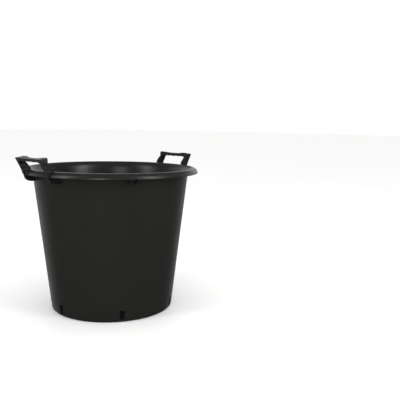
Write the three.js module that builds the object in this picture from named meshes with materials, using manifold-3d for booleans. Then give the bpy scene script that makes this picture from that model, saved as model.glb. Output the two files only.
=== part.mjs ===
// Florist bucket: a round, tapered, injection-moulded tub with a rolled rim, and two carrying
// handles that snap round the rim on opposite sides. Millimetres, +Z up, the origin on the
// ground at the centre of the base, the handles on the X axis.

import * as THREE from 'three';
import { mergeVertices } from 'three/addons/utils/BufferGeometryUtils.js';
import Module from 'manifold-3d';

const wasm = await Module();
wasm.setup();

// Tub: overall sizes
const height = 328;            // ground to the crest of the rim
const rimRadius = 200;         // outside of the rim
const baseRadius = 140.5;      // outside of the wall, carried down to the ground
const wall = 2.6;              // one sheet thickness from the floor to the edge of the rim
const cornerRadius = 5;        // middle of the sheet, between foot ring and wall

// Tub: rim, a flare up to the crest and a broad rolled edge that ends in a short skirt
const rimOverhang = 22.6;      // outside of the rim to the outside of the wall under it
const rollRadius = 10.2;       // middle of the sheet at the rolled edge
const skirt = 0.5;             // straight part below the roll
const crestInset = 13;         // outside of the rim to the inner end of the crest
const flareDrop = 14;          // crest to the start of the flare inside

// Tub: floor, raised inside a foot ring
const floorRise = 7;           // ground to the underside of the floor
const footWidth = 13;          // flat of the foot ring that meets the ground
const footSlope = 8;           // run of the slope from the foot ring up to the floor

// Tub: drain slots through the wall at the base corner
const slotCount = 6;
const slotWidth = 10.3;
const slotBottom = 5;          // above the ground
const slotHeight = 22;

// Tub: two moulded pockets under the rim, each between a pair of gussets
const pocketAngle = 65.5;      // degrees round from the handle axis
const pocketWidth = 11;        // clear width between the gussets
const gussetThickness = 2.2;
const gussetDrop = 24;         // crest to the lowest point of a gusset

// Handles: two side legs and a grip
const handleWidth = 94.5;      // over the outsides of the legs
const legWidth = 6;
const gripRise = 26.5;         // crest of the rim to the middle of the grip's top
const gripEndRise = 29;        // crest of the rim to the ends of the grip's top
const gripThickness = 7.9;
const gripOverhang = 18.4;     // outside of the rim to the outer edge of the grip
const gripDepth = 20;          // across the grip, from the tub outwards
const gripTilt = 3.5;          // how much lower the outer edge of the grip is
const gripRound = 5;           // corners at the ends of the grip, above and below
const scallopCount = 4;        // finger scallops along the underside
const scallopDepth = 1;
const strap = 2;               // least thickness of a leg outside the rim
const kneeOut = 2.6;           // how far the leg's outer edge bows out past the heel
const kneeDrop = 6;            // crest to the middle of that bow
const heelDrop = 16.5;         // crest to the start of the heel's curve
const heelRadius = 15;         // length of the heel's curve
const heelEase = 2.4;          // how much the heel's corner is drawn in
const footDrop = 25.8;         // crest to the underside of a foot
const seatInset = 17.5;        // outside of the rim to where a leg's inner edge meets the crest
const legPocketDepth = 2;      // recess in each side of a leg
const flange = 2.2;            // border left round each recess
const ribThickness = 1.6;
const ribPitch = 8;
const snapRise = 4;            // how far the snap tongue stands up behind the skirt
const snapDepth = 5;           // thickness of the snap tongue
const clearance = 0.3;         // between a handle and the tub

// Faceting
const roundSegments = 60;
const arcSteps = 5;

const skirtFoot = height - wall / 2 - rollRadius - skirt;
const neckRadius = rimRadius - rimOverhang;
const draft = Math.atan((neckRadius - baseRadius) / skirtFoot);

function wallRadius(z) {
  return baseRadius + z * Math.tan(draft);
}

// ---------------------------------------------------------------- solids and booleans

function solidFrom(geometry) {
  const bare = geometry.clone();
  bare.deleteAttribute('normal');
  bare.deleteAttribute('uv');
  const merged = mergeVertices(bare, 1e-4);
  const corners = merged.index.array;
  const kept = [];
  for (let i = 0; i < corners.length; i += 3) {
    const [a, b, c] = [corners[i], corners[i + 1], corners[i + 2]];
    if (a !== b && b !== c && c !== a) kept.push(a, b, c);
  }
  return new wasm.Manifold(new wasm.Mesh({
    numProp: 3,
    vertProperties: new Float32Array(merged.attributes.position.array),
    triVerts: new Uint32Array(kept),
  }));
}

function geometryFrom(solid) {
  const mesh = solid.getMesh();
  const geometry = new THREE.BufferGeometry();
  geometry.setAttribute('position', new THREE.BufferAttribute(mesh.vertProperties, 3));
  geometry.setIndex(new THREE.BufferAttribute(mesh.triVerts, 1));
  return geometry;
}

// A closed outline of radius and height, turned round the Z axis.
function revolve(outline) {
  const lathe = new THREE.LatheGeometry(outline, roundSegments);
  return solidFrom(lathe.rotateX(Math.PI / 2));
}

// An outline of reach (X) and height (Z), given a thickness along Y from y0 to y1.
function sideSlab(shape, y0, y1) {
  const slab = new THREE.ExtrudeGeometry(shape, {
    depth: y1 - y0,
    bevelEnabled: false,
    curveSegments: arcSteps,
  });
  return solidFrom(slab.rotateX(Math.PI / 2).translate(0, y1, 0));
}

// An outline of width (Y) and height (Z), given a thickness along X from x0 to x1.
function frontSlab(shape, x0, x1) {
  const slab = new THREE.ExtrudeGeometry(shape, {
    depth: x1 - x0,
    bevelEnabled: false,
    curveSegments: arcSteps,
  });
  return solidFrom(slab.rotateX(Math.PI / 2).rotateZ(Math.PI / 2).translate(x0, 0, 0));
}

function box(x0, x1, y0, y1, z0, z1) {
  const block = new THREE.BoxGeometry(x1 - x0, y1 - y0, z1 - z0);
  return solidFrom(block.translate((x0 + x1) / 2, (y0 + y1) / 2, (z0 + z1) / 2));
}

// The points of a line moved sideways: a positive distance is to the left of its direction.
function beside(points, distance) {
  return points.map((point, i) => {
    const before = points[Math.max(i - 1, 0)];
    const after = points[Math.min(i + 1, points.length - 1)];
    const a = point.clone().sub(before);
    const b = after.clone().sub(point);
    if (i === 0) a.copy(b);
    if (i === points.length - 1) b.copy(a);
    a.normalize();
    b.normalize();
    const across = new THREE.Vector2(-a.y - b.y, a.x + b.x).normalize();
    const stretch = across.dot(new THREE.Vector2(-a.y, a.x));
    return point.clone().addScaledVector(across, distance / stretch);
  });
}

// ---------------------------------------------------------------- tub

// The middle of the sheet from the start of the flare, over the crest, to the skirt's edge.
function rimLine(extra) {
  const half = wall / 2;
  const flareZ = height - flareDrop;
  const crestZ = height - half;
  const crestX = rimRadius - crestInset;
  const rollX = rimRadius - half - rollRadius;
  const start = new THREE.Vector2(wallRadius(flareZ) - half / Math.cos(draft), flareZ);
  const line = new THREE.Path();
  line.moveTo(start.x, start.y);
  line.quadraticCurveTo((start.x + crestX) / 2 - half, crestZ, crestX, crestZ);
  line.lineTo(rollX, crestZ);
  line.absarc(rollX, crestZ - rollRadius, rollRadius, Math.PI / 2, 0, true);
  line.lineTo(rollX + rollRadius, skirtFoot - extra);
  return line.getPoints(arcSteps);
}

// The middle of the whole sheet: floor, foot ring, corner, wall and rim.
function sheetLine() {
  const half = wall / 2;
  const cornerZ = half + cornerRadius;
  const wallLine = wallRadius(cornerZ) - half / Math.cos(draft);
  const cornerX = wallLine - cornerRadius / Math.cos(draft);
  const line = new THREE.Path();
  line.moveTo(0, floorRise + half);
  line.lineTo(cornerX - footWidth - footSlope, floorRise + half);
  line.lineTo(cornerX - footWidth, half);
  line.absarc(cornerX, cornerZ, cornerRadius, -Math.PI / 2, -draft, false);
  return [...line.getPoints(arcSteps), ...rimLine(0)];
}

// Everything that a handle has to stay clear of: the rim, and the wall and the space inside.
function rimEnvelope() {
  const margin = wall / 2 + clearance;
  const line = rimLine(clearance);
  const low = new THREE.Vector2(wallRadius(height / 2) - wall / 2 / Math.cos(draft), height / 2);
  const under = beside([low, ...line], -margin);
  const crest = beside(line, margin).filter((point) => point.x >= rimRadius - crestInset - wall);
  const over = crest.reverse();
  const inside = new THREE.Vector2(0, over[over.length - 1].y);
  return revolve([new THREE.Vector2(0, low.y), ...under, ...over, inside]);
}

function gusset(side) {
  const half = wall / 2;
  const shape = new THREE.Shape();
  const inner = (z) => wallRadius(z) - half;
  shape.moveTo(inner(height - gussetDrop), height - gussetDrop);
  shape.lineTo(inner(height - gussetDrop) + half + 5, height - gussetDrop);
  shape.lineTo(rimRadius - half, skirtFoot + half);
  for (const point of rimLine(0).reverse()) {
    if (point.y > skirtFoot + half) shape.lineTo(point.x, point.y);
  }
  const middle = side * (pocketWidth + gussetThickness) / 2;
  return sideSlab(shape, middle - gussetThickness / 2, middle + gussetThickness / 2);
}

function makeTub() {
  const line = sheetLine();
  const outside = beside(line, -wall / 2);
  const inside = beside(line, wall / 2).reverse();
  let tub = revolve([...outside, ...inside]);

  const slot = box(
    baseRadius - footWidth / 2,
    wallRadius(slotBottom + slotHeight) + wall,
    -slotWidth / 2,
    slotWidth / 2,
    slotBottom,
    slotBottom + slotHeight,
  );
  for (let i = 0; i < slotCount; i += 1) {
    tub = tub.subtract(slot.rotate([0, 0, i * 360 / slotCount]));
  }
  const pocket = gusset(1).add(gusset(-1));
  for (const turn of [0, 180]) {
    tub = tub.add(pocket.rotate([0, 0, pocketAngle + turn]));
  }
  return tub;
}

// ---------------------------------------------------------------- handle, on the +X side

// The side view of a leg and of the grip's section; inset moves the border inwards.
function legShape(inset) {
  const legInner = handleWidth / 2 - legWidth;
  const heelX = Math.sqrt((rimRadius + clearance) ** 2 - legInner ** 2) + strap - inset;
  const footZ = height - footDrop + inset;
  const gripX = rimRadius + gripOverhang;
  const innerX = gripX - gripDepth;
  const topZ = height + gripEndRise;
  const seatX = rimRadius - seatInset + inset;
  const toeX = neckRadius - handleWidth / 2;
  const shape = new THREE.Shape();
  shape.moveTo(toeX, footZ);
  shape.lineTo(heelX - heelRadius, footZ);
  shape.quadraticCurveTo(heelX - heelEase, footZ + heelEase / 2, heelX, height - heelDrop);
  const kneeZ = height - kneeDrop;
  shape.quadraticCurveTo(heelX + kneeOut, kneeZ, gripX - inset, topZ - gripTilt - inset);
  shape.lineTo(innerX + inset, topZ - inset);
  shape.lineTo(innerX + inset, height + gripRise - gripThickness);
  shape.quadraticCurveTo(seatX + seatInset / 4, height + gripRise / 3, seatX, height - wall);
  shape.lineTo(toeX, height - wall);
  return shape;
}

// The front view: straight sides, rounded corners and a top that dips in the middle.
function frontShape() {
  const half = handleWidth / 2;
  const top = height + gripEndRise;
  const middle = height + gripRise;
  const dip = half / 2;
  const shape = new THREE.Shape();
  shape.moveTo(-half, height - footDrop - 1);
  shape.lineTo(half, height - footDrop - 1);
  shape.lineTo(half, top - gripRound);
  shape.quadraticCurveTo(half, top, half - gripRound, top);
  shape.quadraticCurveTo(dip, top, dip, middle);
  shape.lineTo(-dip, middle);
  shape.quadraticCurveTo(-dip, top, gripRound - half, top);
  shape.quadraticCurveTo(-half, top, -half, top - gripRound);
  return shape;
}

// The space between the legs, with a scalloped top for the fingers.
function openingShape() {
  const half = handleWidth / 2 - legWidth;
  const top = height + gripRise - gripThickness;
  const pitch = (half - gripRound) * 2 / scallopCount;
  const shape = new THREE.Shape();
  shape.moveTo(-half, height - footDrop - 5);
  shape.lineTo(half, height - footDrop - 5);
  shape.lineTo(half, top - gripRound);
  shape.quadraticCurveTo(half, top, half - gripRound, top);
  for (let i = 0; i < scallopCount; i += 1) {
    const start = half - gripRound - i * pitch;
    shape.quadraticCurveTo(start - pitch / 2, top + 2 * scallopDepth, start - pitch, top);
  }
  shape.quadraticCurveTo(-half, top, -half, top - gripRound);
  return shape;
}

// Recesses in both sides of both legs, crossed by ribs.
function legRecesses() {
  const low = height - footDrop;
  const high = height + gripRise - gripThickness - flange;
  const reach = rimRadius + gripOverhang;
  const half = handleWidth / 2;
  const pocket = legShape(flange);
  const outside = sideSlab(pocket, half - legPocketDepth, half + 1);
  const within = sideSlab(pocket, half - legWidth - 1, half - legWidth + legPocketDepth);
  const oneLeg = outside.add(within);
  let recesses = oneLeg.add(oneLeg.mirror([0, 1, 0]));
  for (let z = low + ribPitch; z < high; z += ribPitch) {
    const rib = box(0, reach, -handleWidth, handleWidth, z - ribThickness / 2, z + ribThickness / 2);
    recesses = recesses.subtract(rib);
  }
  const above = box(0, reach, -handleWidth, handleWidth, high, height + gripEndRise);
  return recesses.subtract(above);
}

// The space under the rim, up to the middle of its sheet, less a tongue behind the skirt.
function channelSpace() {
  const half = wall / 2;
  const crestX = rimRadius - crestInset;
  const tongueInside = rimRadius - wall - clearance - snapDepth;
  const bottom = skirtFoot - clearance;
  const tongueTop = bottom + snapRise;
  const roof = rimLine(0).reverse().filter(({ x, y }) => x >= crestX && y > tongueTop);
  return revolve([
    new THREE.Vector2(0, bottom),
    new THREE.Vector2(tongueInside, bottom),
    new THREE.Vector2(tongueInside, tongueTop),
    new THREE.Vector2(rimRadius - half, tongueTop),
    ...roof,
    new THREE.Vector2(0, height - half),
  ]);
}

function makeHandle() {
  const half = handleWidth / 2;
  const reach = rimRadius + gripOverhang + 1;
  const block = sideSlab(legShape(0), -half, half);
  const front = frontSlab(frontShape(), 0, reach);
  const opening = frontSlab(openingShape(), 0, reach);
  return block
    .intersect(front)
    .subtract(opening)
    .subtract(legRecesses())
    .subtract(channelSpace())
    .subtract(rimEnvelope());
}

// ---------------------------------------------------------------- assembly

const blackPlastic = () => new THREE.MeshStandardMaterial({
  color: 0x242422,
  roughness: 0.42,
  metalness: 0,
});

function piece(name, solid, turn) {
  const mesh = new THREE.Mesh(geometryFrom(solid), blackPlastic());
  mesh.name = name;
  mesh.rotation.z = THREE.MathUtils.degToRad(turn);
  return mesh;
}

const handle = makeHandle();
const group = new THREE.Group();
group.add(piece('tub', makeTub(), 0));
group.add(piece('right_handle', handle, 0));
group.add(piece('left_handle', handle, 180));

export default group;
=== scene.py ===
import math

import bmesh
import bpy
from mathutils import Matrix, Vector


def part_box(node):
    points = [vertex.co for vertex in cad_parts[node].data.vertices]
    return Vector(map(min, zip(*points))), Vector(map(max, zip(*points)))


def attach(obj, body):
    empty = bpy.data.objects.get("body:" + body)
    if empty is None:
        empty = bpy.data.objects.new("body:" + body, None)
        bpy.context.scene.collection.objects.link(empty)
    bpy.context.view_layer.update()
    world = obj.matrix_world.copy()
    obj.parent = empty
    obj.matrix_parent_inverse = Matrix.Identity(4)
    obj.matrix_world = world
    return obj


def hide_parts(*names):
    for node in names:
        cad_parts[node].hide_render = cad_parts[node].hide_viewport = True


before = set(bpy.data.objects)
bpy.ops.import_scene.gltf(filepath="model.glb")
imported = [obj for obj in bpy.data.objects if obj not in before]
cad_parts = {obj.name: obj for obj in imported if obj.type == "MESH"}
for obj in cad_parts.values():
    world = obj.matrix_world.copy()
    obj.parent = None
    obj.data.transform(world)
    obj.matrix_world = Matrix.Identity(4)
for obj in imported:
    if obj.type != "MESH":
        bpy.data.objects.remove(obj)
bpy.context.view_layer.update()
scene = bpy.context.scene


# ---------------------------------------------------------------------------------------
# The stand: a big flat board with a matt white coat of paint, under plain studio light. It
# runs back out of sight and is only a floor for the tub, which stands loose on it.

def linear(hex_colour):
    """An sRGB hex colour as the linear colour that the shaders take."""
    parts = [int(hex_colour[i:i + 2], 16) / 255 for i in (1, 3, 5)]
    return tuple(
        part / 12.92 if part <= 0.04045 else ((part + 0.055) / 1.055) ** 2.4 for part in parts
    ) + (1.0,)


def node(tree, kind, settings=None, **inputs):
    """Adds a node; inputs are named by socket, with spaces as underscores, and a socket links."""
    made = tree.nodes.new(kind)
    for name, value in (settings or {}).items():
        setattr(made, name, value)
    for name, value in inputs.items():
        key = int(name[1:]) if name[0] == "i" and name[1:].isdigit() else name.replace("_", " ")
        socket = made.inputs[key]
        if isinstance(value, bpy.types.NodeSocket):
            tree.links.new(value, socket)
        else:
            socket.default_value = value
    return made


def new_object(name, mesh, *materials):
    """An object in the scene with the given mesh and materials."""
    made = bpy.data.objects.new(name, mesh)
    scene.collection.objects.link(made)
    for material in materials:
        mesh.materials.append(material)
    return made


def mesh_from(name, points, faces, smooth=True):
    """A mesh of the given points and faces, smooth or flat all over."""
    mesh = bpy.data.meshes.new(name)
    mesh.from_pydata(points, [], faces)
    mesh.validate()
    mesh.polygons.foreach_set("use_smooth", [smooth] * len(mesh.polygons))
    return mesh


look_azimuth = math.radians(47.395)
board_material = bpy.data.materials.new("white_matt_painted_board")
board_material.use_nodes = True
tree = board_material.node_tree
shader = tree.nodes["Principled BSDF"]
shader.inputs["Roughness"].default_value = 0.42
shader.inputs["IOR"].default_value = 1.45
shader.inputs["Specular IOR Level"].default_value = 0.2
place = node(tree, "ShaderNodeTexCoord")
speckle = node(tree, "ShaderNodeTexNoise", Vector=place.outputs["Object"], Scale=3.0, Detail=3.0)
tint = node(
    tree,
    "ShaderNodeMix",
    {"data_type": "RGBA"},
    Factor=speckle.outputs["Fac"],
    A=linear("#f6f6f5"),
    B=linear("#f9f9f8"),
)
tree.links.new(tint.outputs["Result"], shader.inputs["Base Color"])
# The board is left out of the tub's own gloss, as a flag laid round its foot would do.
unseen = node(tree, "ShaderNodeBsdfTransparent")
in_gloss = node(tree, "ShaderNodeLightPath").outputs["Is Glossy Ray"]
either = node(tree, "ShaderNodeMixShader", i0=in_gloss, i1=shader.outputs[0], i2=unseen.outputs[0])
tree.links.new(either.outputs[0], tree.nodes["Material Output"].inputs["Surface"])

board_half = 30.0
board_mesh = mesh_from(
    "board",
    [(x, y, 0.0) for x, y in ((-1, -1), (1, -1), (1, 1), (-1, 1))],
    [(0, 1, 2, 3)],
    smooth=False,
)
board_mesh.transform(Matrix.Scale(board_half, 4))
board = new_object("board", board_mesh, board_material)

# The camera stands 1.3 m from the tub's axis at the height of a low table.
camera_place = Vector((-0.8047, -1.0210, 0.4261))
look_down = math.radians(7.703)
camera_roll = math.radians(0.917)
forward = Vector((
    math.sin(look_azimuth) * math.cos(look_down),
    math.cos(look_azimuth) * math.cos(look_down),
    -math.sin(look_down),
))
level = Vector((math.cos(look_azimuth), -math.sin(look_azimuth), 0.0))
upward = level.cross(forward)
across = math.cos(camera_roll) * level + math.sin(camera_roll) * upward
upward = math.cos(camera_roll) * upward - math.sin(camera_roll) * level
camera_data = bpy.data.cameras.new("camera")
camera_data.sensor_width = 36.0
camera_data.lens = 49.62
camera = bpy.data.objects.new("camera", camera_data)
camera.matrix_world = Matrix((
    (across.x, upward.x, -forward.x, camera_place.x),
    (across.y, upward.y, -forward.y, camera_place.y),
    (across.z, upward.z, -forward.z, camera_place.z),
    (0.0, 0.0, 0.0, 1.0),
))
scene.collection.objects.link(camera)
scene.camera = camera


# Plain studio light: three soft boxes on the eye's side, to its left, behind it and to its right.
aim = Vector((0, 0, 0.3))


def soft_box(name, bearing, elevation, width, length, radiance, distance=2.2):
    """A soft box aimed at the tub, its bearing counted to the right from the eye, in degrees."""
    side, rise = math.radians(bearing), math.radians(elevation)
    right_hand = Vector((math.cos(look_azimuth), -math.sin(look_azimuth), 0.0))
    to_eye = Vector((-math.sin(look_azimuth), -math.cos(look_azimuth), 0.0))
    flat = right_hand * math.sin(side) + to_eye * math.cos(side)
    direction = flat * math.cos(rise) + Vector((0, 0, math.sin(rise)))
    data = bpy.data.lights.new(name, "AREA")
    data.shape = "RECTANGLE"
    data.size = width
    data.size_y = length
    data.energy = radiance * math.pi * width * length
    light = bpy.data.objects.new(name, data)
    facing = direction.to_track_quat("Z", "Y")
    light.matrix_world = Matrix.LocRotScale(aim + direction * distance, facing, None)
    scene.collection.objects.link(light)


soft_box("soft_box_left", bearing=-54, elevation=22, width=0.50, length=1.5, radiance=5.5)
soft_box("soft_box_behind_eye", bearing=-6, elevation=9, width=0.55, length=0.7, radiance=5.0)
soft_box("soft_box_right", bearing=60, elevation=24, width=0.62, length=1.5, radiance=6.0)

# Round the stand, the tub's gloss shows dim walls, with a pale backcloth on the far side and a
# white band along the cloth's foot. The soft fill comes from a ceiling that brightens upward,
# and the eye itself sees plain white.
studio = bpy.data.worlds.new("studio")
scene.world = studio
studio.use_nodes = True
tree = studio.node_tree
tree.nodes.clear()
sky_direction = node(tree, "ShaderNodeTexCoord").outputs["Generated"]
backcloth_azimuth = look_azimuth - math.radians(13)
behind = node(
    tree,
    "ShaderNodeVectorMath",
    {"operation": "DOT_PRODUCT"},
    i0=sky_direction,
    i1=(math.sin(backcloth_azimuth), math.cos(backcloth_azimuth), 0.0),
).outputs["Value"]
eased = {"interpolation_type": "SMOOTHSTEP"}
cloth = node(
    tree,
    "ShaderNodeMapRange",
    eased,
    Value=behind,
    From_Min=0.40,
    From_Max=0.92,
    To_Min=0.05,
    To_Max=0.42,
)
height_in_sky = node(tree, "ShaderNodeSeparateXYZ", Vector=sky_direction).outputs["Z"]
above = node(tree, "ShaderNodeMapRange", eased, Value=height_in_sky, From_Min=-0.06, From_Max=0.0)
beyond = node(tree, "ShaderNodeMapRange", eased, Value=behind, From_Min=0.0, From_Max=0.6)
top_edge = node(
    tree,
    "ShaderNodeMapRange",
    eased,
    Value=height_in_sky,
    From_Min=0.26,
    From_Max=0.46,
    To_Min=1.0,
    To_Max=0.12,
)
ceiling = node(
    tree,
    "ShaderNodeMapRange",
    eased,
    Value=height_in_sky,
    From_Min=0.0,
    From_Max=0.5,
    To_Min=0.25,
    To_Max=1.2,
)


def maths(tree, operation, a, b=0.0):
    """The result of one sum on two numbers or sockets."""
    return node(tree, "ShaderNodeMath", {"operation": operation}, i0=a, i1=b).outputs[0]


band = maths(tree, "MULTIPLY", above.outputs[0], top_edge.outputs[0])
white_wall = maths(tree, "MULTIPLY", band, beyond.outputs[0])
gloss_level = maths(tree, "MAXIMUM", white_wall, cloth.outputs["Result"])
seen = node(tree, "ShaderNodeBackground", Color=(1, 1, 1, 1), Strength=1.0)
glossed = node(tree, "ShaderNodeBackground", Color=(1, 1, 1, 1), Strength=gloss_level)
fill = node(tree, "ShaderNodeBackground", Color=(1, 1, 1, 1), Strength=ceiling.outputs["Result"])
rays = node(tree, "ShaderNodeLightPath").outputs
around = node(
    tree,
    "ShaderNodeMixShader",
    i0=rays["Is Glossy Ray"],
    i1=fill.outputs[0],
    i2=glossed.outputs[0],
)
chosen = node(
    tree,
    "ShaderNodeMixShader",
    i0=rays["Is Camera Ray"],
    i1=around.outputs[0],
    i2=seen.outputs[0],
)
node(tree, "ShaderNodeOutputWorld", Surface=chosen.outputs[0])
scene.view_settings.view_transform = "Standard"


# ---------------------------------------------------------------------------------------
# The tub: one injection moulding in black polypropylene, a sheet of one thickness from the
# raised floor, round the foot ring and up the tapered wall to the flared and rolled rim.
# Six drain slots go through the foot of the wall, and two pairs of gussets stand under the rim.

MM = 0.001
tub_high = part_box("tub")[1]
height = tub_high.z / MM
rim_radius = tub_high.x / MM
base_radius = 140.5
neck_radius = 177.4
sheet = 2.6
rim_drop = 12.0
slope = (neck_radius - base_radius) / (height - rim_drop)


def wall_radius(z):
    """The outside radius of the tapered wall at a height."""
    return base_radius + slope * z


def arc(cx, cz, radius, start, end, steps):
    """Points on an arc in the section, start and end in degrees."""
    turns = [math.radians(start + (end - start) * i / steps) for i in range(steps + 1)]
    return [(cx + radius * math.cos(t), cz + radius * math.sin(t)) for t in turns]


def bend(a, b, c, steps):
    """Points on a quadratic curve from a to c, pulled towards b."""
    points = []
    for i in range(steps + 1):
        t = i / steps
        pulls = ((1 - t) ** 2, 2 * t * (1 - t), t * t)
        points.append((
            pulls[0] * a[0] + pulls[1] * b[0] + pulls[2] * c[0],
            pulls[0] * a[1] + pulls[1] * b[1] + pulls[2] * c[1],
        ))
    return points


def spaced(points, longest):
    """The same line with extra points, so that no step is longer than asked."""
    line = [points[0]]
    for a, b in zip(points, points[1:]):
        count = max(1, math.ceil(math.dist(a, b) / longest))
        line += [
            (a[0] + (b[0] - a[0]) * i / count, a[1] + (b[1] - a[1]) * i / count)
            for i in range(1, count + 1)
        ]
    shortest = 0.02
    return [p for i, p in enumerate(line) if i == 0 or math.dist(p, line[i - 1]) > shortest]


half_sheet = sheet / 2
floor_rise = 7.0
foot_width = 13.0
foot_slope = 8.0
corner = 5.0
corner_z = half_sheet + corner
lean = math.atan(slope)
corner_x = wall_radius(corner_z) - half_sheet / math.cos(lean) - corner / math.cos(lean)
crest_inset = 13.0
flare_drop = 14.0
roll = 10.2
crest_z = height - half_sheet
roll_x = rim_radius - half_sheet - roll
flare_start = (wall_radius(height - flare_drop) - half_sheet / math.cos(lean), height - flare_drop)
slot_low = 5.0
slot_high = 27.0
slot_from_axis = 130.0

# A shallow raised pad at the centre is where the plastic ran in. From it the floor runs level to
# the slope, which falls to the foot ring with an eased bend at each end.
pad_rise = 0.9
pad_radius = 6.0
pad_foot_radius = 7.5
floor_z = floor_rise + half_sheet
slope_foot = corner_x - foot_width
slope_head = slope_foot - foot_slope
ease_level = 3.0
ease_run = 2.2
ease_fall = 2.0
foot_line = [(0.0, floor_z + pad_rise), (pad_radius, floor_z + pad_rise), (pad_foot_radius, floor_z)]
foot_line += bend(
    (slope_head - ease_level, floor_z),
    (slope_head, floor_z),
    (slope_head + ease_run, floor_z - ease_fall),
    4,
)
foot_line += bend(
    (slope_foot - ease_run, half_sheet + ease_fall),
    (slope_foot, half_sheet),
    (slope_foot + ease_level, half_sheet),
    4,
)
foot_line += arc(corner_x, corner_z, corner, -90, -math.degrees(lean), 8)
wall_heights = (slot_high, 60, 110, 160, 210, 260, 298)
wall_line = [(wall_radius(z) - half_sheet / math.cos(lean), z) for z in wall_heights]
rim_line = bend(
    flare_start,
    ((flare_start[0] + rim_radius - crest_inset) / 2 - half_sheet, crest_z),
    (rim_radius - crest_inset, crest_z),
    10,
)
rim_line += arc(roll_x, crest_z - roll, roll, 90, 0, 8)
rim_line.append((roll_x + roll, height - rim_drop))
longest_step = 16.0
section = spaced([*foot_line, *wall_line, *rim_line], longest_step)
section_mesh = mesh_from("tub", [(x * MM, 0.0, z * MM) for x, z in section], [])

# The mould is turned, so the sheet's middle line is carried round the axis in equal steps,
# and the faces that fall inside a drain slot are left out before the sheet gets its thickness.
turning = bpy.data.node_groups.new("turned_sheet", "GeometryNodeTree")
turning.interface.new_socket("Section", in_out="INPUT", socket_type="NodeSocketGeometry")
for name, kind, value in (
    ("Steps", "NodeSocketInt", 432),
    ("Section points", "NodeSocketInt", len(section)),
    ("Slots", "NodeSocketInt", 6),
    ("Slot steps", "NodeSocketInt", 5),
    ("Slot bottom", "NodeSocketFloat", slot_low * MM),
    ("Slot top", "NodeSocketFloat", slot_high * MM),
    ("Material", "NodeSocketMaterial", None),
):
    socket = turning.interface.new_socket(name, in_out="INPUT", socket_type=kind)
    if value is not None:
        socket.default_value = value
turning.interface.new_socket("Sheet", in_out="OUTPUT", socket_type="NodeSocketGeometry")


given = node(turning, "NodeGroupInput").outputs
columns = maths(turning, "ADD", given["Steps"], 1.0)
net = node(turning, "GeometryNodeMeshGrid", Vertices_X=columns, Vertices_Y=given["Section points"])
place_in_net = node(turning, "GeometryNodeInputIndex").outputs[0]
row = maths(turning, "MODULO", place_in_net, given["Section points"])
column = maths(turning, "FLOOR", maths(turning, "DIVIDE", place_in_net, given["Section points"]))
section_point = node(
    turning,
    "GeometryNodeSampleIndex",
    {"data_type": "FLOAT_VECTOR"},
    Geometry=given["Section"],
    Value=node(turning, "GeometryNodeInputPosition").outputs[0],
    Index=row,
)
share = maths(turning, "DIVIDE", maths(turning, "ADD", column, 0.5), given["Steps"])
turn = maths(turning, "MULTIPLY", share, 2 * math.pi)
turned_point = node(
    turning,
    "ShaderNodeVectorRotate",
    {"rotation_type": "Z_AXIS"},
    Vector=section_point.outputs["Value"],
    Angle=turn,
)
wrapped = node(
    turning,
    "GeometryNodeSetPosition",
    Geometry=net.outputs["Mesh"],
    Position=turned_point.outputs[0],
)
closed = node(turning, "GeometryNodeMergeByDistance", Geometry=wrapped.outputs[0], Distance=0.00002)
face_place = node(turning, "GeometryNodeInputPosition").outputs[0]
centre = node(turning, "ShaderNodeSeparateXYZ", Vector=face_place)
bearing = maths(turning, "ARCTAN2", centre.outputs["Y"], centre.outputs["X"])
sector = maths(turning, "DIVIDE", 2 * math.pi, given["Slots"])
within_sector = node(
    turning,
    "ShaderNodeMath",
    {"operation": "WRAP"},
    i0=bearing,
    i1=maths(turning, "MULTIPLY", sector, 0.5),
    i2=maths(turning, "MULTIPLY", sector, -0.5),
)
from_slot = maths(turning, "ABSOLUTE", within_sector.outputs[0])
slot_share = maths(turning, "DIVIDE", given["Slot steps"], given["Steps"])
slot_half = maths(turning, "MULTIPLY", slot_share, math.pi)
in_width = maths(turning, "LESS_THAN", from_slot, slot_half)
in_height = maths(
    turning,
    "MULTIPLY",
    maths(turning, "GREATER_THAN", centre.outputs["Z"], given["Slot bottom"]),
    maths(turning, "LESS_THAN", centre.outputs["Z"], given["Slot top"]),
)
level_place = node(
    turning,
    "ShaderNodeVectorMath",
    {"operation": "MULTIPLY"},
    i0=face_place,
    i1=(1, 1, 0),
)
from_axis = node(turning, "ShaderNodeVectorMath", {"operation": "LENGTH"}, i0=level_place.outputs[0])
off_axis = maths(turning, "GREATER_THAN", from_axis.outputs["Value"], slot_from_axis * MM)
in_slot = maths(turning, "MULTIPLY", maths(turning, "MULTIPLY", in_width, in_height), off_axis)
opened = node(
    turning,
    "GeometryNodeDeleteGeometry",
    {"domain": "FACE"},
    Geometry=closed.outputs[0],
    Selection=in_slot,
)
whole = node(turning, "GeometryNodeRealizeInstances", Geometry=opened.outputs[0])
coated = node(turning, "GeometryNodeSetMaterial", Geometry=whole.outputs[0], Material=given["Material"])
node(turning, "NodeGroupOutput", Sheet=coated.outputs[0])


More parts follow.
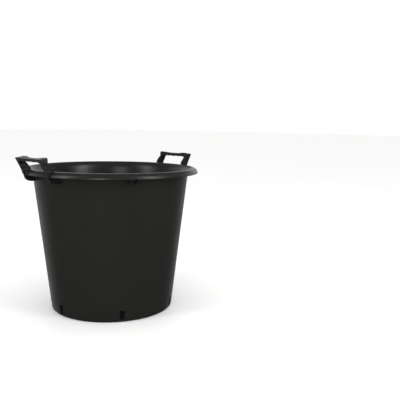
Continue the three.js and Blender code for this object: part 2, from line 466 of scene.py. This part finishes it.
def polypropylene(name, colour, worn_colour, grain_mm, roughness, wear):
    """Black polypropylene, injection moulded in a lightly blasted mould: satin, with a soft
    broad sheen, a fine even grain, faint flow marks and paler patches of light rubbing."""
    material = bpy.data.materials.new(name)
    material.use_nodes = True
    tree = material.node_tree
    shader = tree.nodes["Principled BSDF"]
    shader.inputs["IOR"].default_value = 1.49
    shader.inputs["Specular IOR Level"].default_value = 0.4
    place = node(tree, "ShaderNodeTexCoord").outputs["Object"]
    flow = node(tree, "ShaderNodeTexNoise", Vector=place, Scale=14.0, Detail=4.0, Roughness=0.55)
    grain = node(tree, "ShaderNodeTexNoise", Vector=place, Scale=1000 / grain_mm, Detail=2.0)
    rub = node(tree, "ShaderNodeTexNoise", Vector=place, Scale=160.0, Detail=5.0, Roughness=0.7)
    rubbed = node(
        tree,
        "ShaderNodeMapRange",
        Value=rub.outputs["Fac"],
        From_Min=0.62,
        From_Max=0.80,
        To_Max=wear,
    )
    tint = node(
        tree,
        "ShaderNodeMix",
        {"data_type": "RGBA"},
        Factor=rubbed.outputs["Result"],
        A=linear(colour),
        B=linear(worn_colour),
    )
    tree.links.new(tint.outputs["Result"], shader.inputs["Base Color"])
    polish = node(
        tree,
        "ShaderNodeMapRange",
        {"interpolation_type": "SMOOTHSTEP"},
        Value=flow.outputs["Fac"],
        From_Min=0.2,
        From_Max=0.8,
        To_Min=roughness - 0.04,
        To_Max=roughness + 0.05,
    )
    tree.links.new(polish.outputs["Result"], shader.inputs["Roughness"])
    relief = node(tree, "ShaderNodeBump", Height=grain.outputs["Fac"], Strength=0.25, Distance=0.0001)
    tree.links.new(relief.outputs["Normal"], shader.inputs["Normal"])
    return material


tub_plastic = polypropylene(
    "black_polypropylene_satin_moulded",
    colour="#1e1e1c",
    worn_colour="#383835",
    grain_mm=0.9,
    roughness=0.325,
    wear=0.6,
)


def set_input(modifier, name, value):
    """Sets a Geometry Nodes input by its socket's identifier."""
    for item in modifier.node_group.interface.items_tree:
        if item.item_type == "SOCKET" and item.in_out == "INPUT" and item.name == name:
            modifier[item.identifier] = value


def made_plain(obj, name):
    """Replaces an object's mesh by its evaluated result and drops its modifiers."""
    evaluated = obj.evaluated_get(bpy.context.evaluated_depsgraph_get())
    mesh = bpy.data.meshes.new_from_object(evaluated)
    obj.modifiers.clear()
    obj.data = mesh
    mesh.name = name
    return obj


tub = new_object("moulded_tub", section_mesh)
modifier = tub.modifiers.new("turned", "NODES")
modifier.node_group = turning
set_input(modifier, "Material", tub_plastic)
made_plain(tub, "moulded_tub")

thickened = tub.modifiers.new("thickness", "SOLIDIFY")
thickened.thickness = sheet * MM
thickened.offset = 0.0
thickened.use_even_offset = True
edge_round = tub.modifiers.new("edges", "BEVEL")
edge_round.width = 0.5 * MM
edge_round.segments = 2
edge_round.limit_method = "ANGLE"
edge_round.angle_limit = math.radians(50)
made_plain(tub, "moulded_tub")


# Two pockets under the rim, opposite each other and between the handles, each of them between a
# pair of gussets.
def outward(mesh):
    """Turns a closed mesh's faces outward."""
    shape = bmesh.new()
    shape.from_mesh(mesh)
    bmesh.ops.recalc_face_normals(shape, faces=shape.faces)
    shape.to_mesh(mesh)
    shape.free()


def plate(name, outline, low, high, turn=0.0, across_x=False):
    """A closed outline in millimetres, of X and Z or of Y and Z, given a thickness across it."""
    points = []
    for level in (low, high):
        points += [(level, u, z) if across_x else (u, level, z) for u, z in outline]
    count = len(outline)
    faces = [tuple(range(count)), tuple(range(2 * count - 1, count - 1, -1))]
    faces += [(i, (i + 1) % count, count + (i + 1) % count, count + i) for i in range(count)]
    mesh = mesh_from(name, points, faces, smooth=False)
    mesh.transform(Matrix.Rotation(turn, 4, "Z") @ Matrix.Scale(MM, 4))
    outward(mesh)
    return new_object(name, mesh)


def carve(body, tool, operation, solver="MANIFOLD"):
    """Joins a tool to a body, or takes it away, and drops the tool."""
    change = body.modifiers.new("carve", "BOOLEAN")
    change.operation = operation
    change.solver = solver
    change.object = tool
    made_plain(body, body.name)
    bpy.data.objects.remove(tool)


pocket_azimuth = 65.5
pocket_azimuths = (math.radians(pocket_azimuth), math.radians(pocket_azimuth + 180))
pocket_width = 11.0
gusset_thickness = 2.2
gusset_drop = 24.0
gusset_toe = 5.0
toe_end = (6.3, 0.6)
bow = (12.0, 6.0)
gusset_low = height - gusset_drop
gusset_foot = wall_radius(gusset_low) - half_sheet
gusset = [(gusset_foot, gusset_low), (gusset_foot + gusset_toe, gusset_low)]
gusset += bend(
    (gusset_foot + toe_end[0], gusset_low + toe_end[1]),
    (gusset_foot + bow[0], gusset_low + bow[1]),
    (rim_radius - half_sheet, height - rim_drop + half_sheet),
    6,
)
gusset += [point for point in reversed(rim_line) if point[1] > height - rim_drop + half_sheet]
half_gusset = gusset_thickness / 2
gussets = None
for azimuth in pocket_azimuths:
    for side in (-1, 1):
        middle = side * (pocket_width + gusset_thickness) / 2
        rib = plate("gusset", gusset, middle - half_gusset, middle + half_gusset, azimuth)
        softened = rib.modifiers.new("edges", "BEVEL")
        softened.width = 0.4 * MM
        softened.segments = 2
        made_plain(rib, "gusset")
        if gussets:
            carve(gussets, rib, "UNION")
        else:
            gussets = rib
carve(tub, gussets, "UNION", "EXACT")

# Big faces keep their own direction, so the shading turns only at the rounded edges.
tub.data.polygons.foreach_set("use_smooth", [True] * len(tub.data.polygons))
tub.data.polygons.foreach_set("material_index", [0] * len(tub.data.polygons))
tub.data.materials.clear()
tub.data.materials.append(tub_plastic)
shaded = tub.modifiers.new("shaded", "WEIGHTED_NORMAL")
shaded.weight = 100
made_plain(tub, "moulded_tub")
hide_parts("tub")
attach(tub, "root")


# ---------------------------------------------------------------------------------------
# The handles: two rigid brackets, injection moulded in the same black polypropylene. Each hooks
# over the rim on two hollow-sided legs, and a short tongue snaps up behind the rim's skirt.

handle_low, handle_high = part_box("right_handle")
grip_reach = handle_high.x / MM
half_span = handle_high.y / MM
grip_end_top = handle_high.z / MM
foot_bottom = handle_low.z / MM
leg_width = 6.0
leg_inside = half_span - leg_width
grip_depth = 20.0
grip_thickness = 7.9
grip_rise = 26.5
grip_top = height + grip_rise
grip_under = grip_top - grip_thickness
grip_tilt = 3.5
grip_round = 5.0
strap = 2.0
heel_drop = 16.5
heel_radius = 15.0
knee_out = 2.6
knee_drop = 6.0
seat_inset = 17.5
throat_rise = 8.3
heel_ease = 2.4
fit_gap = 0.36
cut_past = 1.0


def leg_side(inset):
    """The side view of a leg and the grip's end, its border drawn in by an inset."""
    heel = math.sqrt((rim_radius + fit_gap) ** 2 - leg_inside ** 2) + strap - inset
    foot = foot_bottom + inset
    back = grip_reach - grip_depth + inset
    seat = rim_radius - seat_inset + inset
    toe = neck_radius - half_span
    line = [(toe, foot)]
    heel_pull = (heel - heel_ease, foot + heel_ease / 2)
    line += bend((heel - heel_radius, foot), heel_pull, (heel, height - heel_drop), 8)
    front = (grip_reach - inset, grip_end_top - grip_tilt - inset)
    line += bend((heel, height - heel_drop), (heel + knee_out, height - knee_drop), front, 10)[1:]
    line += [(back, grip_end_top - inset), (back, grip_under)]
    throat = (seat + seat_inset / 4, height + throat_rise)
    line += bend((back, grip_under), throat, (seat, height - sheet), 10)[1:]
    line.append((toe, height - sheet))
    return line


def mirrored(right_half):
    """A line from the bottom right to the top middle, with its mirror image on the left."""
    return right_half + [(-u, z) for u, z in reversed(right_half) if u > 0]


# Seen from the front: the crown is the outline over the grip, which stands a little prouder at
# its ends, and the gap is the opening for the hand, its top scalloped for four fingers.
below = foot_bottom - cut_past
crown_shoulder = 0.6
crown_end = 0.45
crown_dip = 0.2
crown = [(half_span, below)]
crown += bend(
    (half_span, grip_end_top - grip_round),
    (half_span, grip_end_top),
    (half_span - grip_round, grip_end_top),
    6,
)
crown += bend(
    (half_span - grip_round, grip_end_top),
    (half_span * crown_shoulder, grip_end_top),
    (half_span * crown_end, grip_top),
    8,
)[1:]
crown += [(0.0, grip_top - crown_dip)]
scallops = 4
scallop_pull = 2.4
scallop_pitch = 2 * (leg_inside - grip_round) / scallops
gap = [(leg_inside, below)]
gap += bend(
    (leg_inside, grip_under - grip_round),
    (leg_inside, grip_under),
    (leg_inside - grip_round, grip_under),
    6,
)
for finger in range(scallops // 2):
    start = leg_inside - grip_round - finger * scallop_pitch
    gap += bend(
        (start, grip_under),
        (start - scallop_pitch / 2, grip_under + scallop_pull),
        (start - scallop_pitch, grip_under),
        8,
    )[1:]
gap[-1] = (0.0, grip_under)


def beside(line, distance):
    """A line moved sideways, to the left of its direction where the distance is positive."""
    moved = []
    for i, point in enumerate(line):
        before, after = line[max(i - 1, 0)], line[min(i + 1, len(line) - 1)]
        a = Vector(point) - Vector(before) if i else Vector(after) - Vector(point)
        b = Vector(after) - Vector(point) if i < len(line) - 1 else a
        a.normalize()
        b.normalize()
        across = Vector((-a.y - b.y, a.x + b.x)).normalized()
        moved.append(tuple(Vector(point) + across * distance / across.dot(Vector((-a.y, a.x)))))
    return moved


def turned_block(name, outline, half_turn=26, steps=104):
    """A closed outline of radius and height, carried round the axis on the handle's side."""
    points = []
    for i in range(steps + 1):
        t = math.radians(half_turn * (2 * i / steps - 1))
        points += [(x * math.cos(t) * MM, x * math.sin(t) * MM, z * MM) for x, z in outline]
    count = len(outline)
    faces = [tuple(range(count)), tuple(range(steps * count + count - 1, steps * count - 1, -1))]
    for i in range(steps):
        for j in range(count):
            k = (j + 1) % count
            faces.append((i * count + j, i * count + k, (i + 1) * count + k, (i + 1) * count + j))
    mesh = mesh_from(name, points, faces, smooth=False)
    outward(mesh)
    return new_object(name, mesh)


# What the handle leaves free: the rim with a little room round it, and the tub's inside. The
# cutters for both start at the core, a radius well inside the legs.
margin = half_sheet + fit_gap
core = 100.0
low_wall = (wall_radius(height / 2) - half_sheet / math.cos(lean), height / 2)
lowered_rim = [*rim_line[:-1], (rim_line[-1][0], rim_line[-1][1] - fit_gap)]
behind_crest = rim_radius - crest_inset - sheet
over_rim = [point for point in beside(lowered_rim, margin) if point[0] > behind_crest]
over_rim.reverse()
rim_room = [(core, low_wall[1])]
rim_room += [*beside([low_wall, *lowered_rim], -margin), *over_rim, (core, over_rim[-1][1])]
tongue_depth = 5.0
tongue_rise = 4.0
tongue_back = rim_radius - sheet - fit_gap - tongue_depth
channel_low = height - rim_drop - fit_gap
tongue_top = channel_low + tongue_rise
channel = [(core, channel_low), (tongue_back, channel_low), (tongue_back, tongue_top)]
channel.append((rim_radius - half_sheet, tongue_top))
at_crest = rim_radius - crest_inset - 0.01
channel += [p for p in reversed(rim_line) if p[0] >= at_crest and p[1] > tongue_top]
channel.append((core, crest_z))

# The ribs that cross the hollow sides of the legs, one above the other.
ribbing = bpy.data.node_groups.new("leg_ribs", "GeometryNodeTree")
for name, kind, value in (
    ("Count", "NodeSocketInt", 5),
    ("Pitch", "NodeSocketFloat", 8.0 * MM),
    ("Lowest", "NodeSocketFloat", (foot_bottom + 8.0) * MM),
    ("Thickness", "NodeSocketFloat", 1.6 * MM),
    ("Length", "NodeSocketFloat", 0.3),
    ("Width", "NodeSocketFloat", 0.2),
    ("Material", "NodeSocketMaterial", None),
):
    socket = ribbing.interface.new_socket(name, in_out="INPUT", socket_type=kind)
    if value is not None:
        socket.default_value = value
ribbing.interface.new_socket("Ribs", in_out="OUTPUT", socket_type="NodeSocketGeometry")
given = node(ribbing, "NodeGroupInput").outputs
first = node(ribbing, "ShaderNodeCombineXYZ", X=grip_reach * MM, Z=given["Lowest"])
step = node(ribbing, "ShaderNodeCombineXYZ", Z=given["Pitch"])
places = node(
    ribbing,
    "GeometryNodeMeshLine",
    {"mode": "OFFSET"},
    Count=given["Count"],
    Start_Location=first.outputs[0],
    Offset=step.outputs[0],
)
size = node(ribbing, "ShaderNodeCombineXYZ", X=given["Length"], Y=given["Width"], Z=given["Thickness"])
bar = node(ribbing, "GeometryNodeMeshCube", Size=size.outputs[0])
bars = node(
    ribbing,
    "GeometryNodeInstanceOnPoints",
    Points=places.outputs[0],
    Instance=bar.outputs["Mesh"],
)
solid = node(ribbing, "GeometryNodeRealizeInstances", Geometry=bars.outputs[0])
coated = node(ribbing, "GeometryNodeSetMaterial", Geometry=solid.outputs[0], Material=given["Material"])
node(ribbing, "NodeGroupOutput", Ribs=coated.outputs[0])

handle_plastic = polypropylene(
    "black_polypropylene_handle_moulded",
    colour="#1e1e1c",
    worn_colour="#3a3a37",
    grain_mm=0.8,
    roughness=0.36,
    wear=0.8,
)
ribs = new_object("leg_ribs", bpy.data.meshes.new("leg_ribs"))
modifier = ribs.modifiers.new("ribs", "NODES")
modifier.node_group = ribbing
set_input(modifier, "Material", handle_plastic)
made_plain(ribs, "leg_ribs")

flange = 2.2
recess = 2.0
hollow = plate("hollow", leg_side(flange), half_span - recess, half_span + cut_past)
for low, high in (
    (leg_inside - cut_past, leg_inside + recess),
    (-half_span - cut_past, recess - half_span),
    (-leg_inside - recess, cut_past - leg_inside),
):
    carve(hollow, plate("hollow_side", leg_side(flange), low, high), "UNION")
room_foot = grip_under - flange
room_reach = 300.0
room_top = 400.0
room_half = 60.0
grip_room = [(0.0, room_foot), (room_reach, room_foot), (room_reach, room_top), (0.0, room_top)]
carve(hollow, plate("grip_room", grip_room, -room_half, room_half), "DIFFERENCE")
carve(hollow, ribs, "DIFFERENCE")

right_handle = plate("right_hand_hold", leg_side(0.0), -half_span, half_span)
past_grip = grip_reach + 2 * cut_past
carve(right_handle, plate("crown", mirrored(crown), 0, past_grip, across_x=True), "INTERSECT")
carve(right_handle, plate("gap", mirrored(gap), 0, past_grip, across_x=True), "DIFFERENCE")
carve(right_handle, hollow, "DIFFERENCE")
carve(right_handle, turned_block("channel", channel), "DIFFERENCE")
carve(right_handle, turned_block("rim_room", rim_room), "DIFFERENCE")

# The mould's edges are all a little rounded: a fine remesh and a light smoothing do the same.
fine = right_handle.modifiers.new("fine", "REMESH")
fine.mode = "VOXEL"
fine.voxel_size = 0.5 * MM
fine.use_smooth_shade = True
softened = right_handle.modifiers.new("eased", "SMOOTH")
softened.factor = 0.5
softened.iterations = 4
made_plain(right_handle, "right_hand_hold")
right_handle.data.materials.clear()
right_handle.data.materials.append(handle_plastic)

# The other side's handle is the same moulding, turned half way round the tub.
left_handle = new_object("left_hand_hold", right_handle.data.copy())
left_handle.data.transform(Matrix.Rotation(math.pi, 4, "Z"))
for hold, replaced in ((right_handle, "right_handle"), (left_handle, "left_handle")):
    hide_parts(replaced)
    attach(hold, "root")
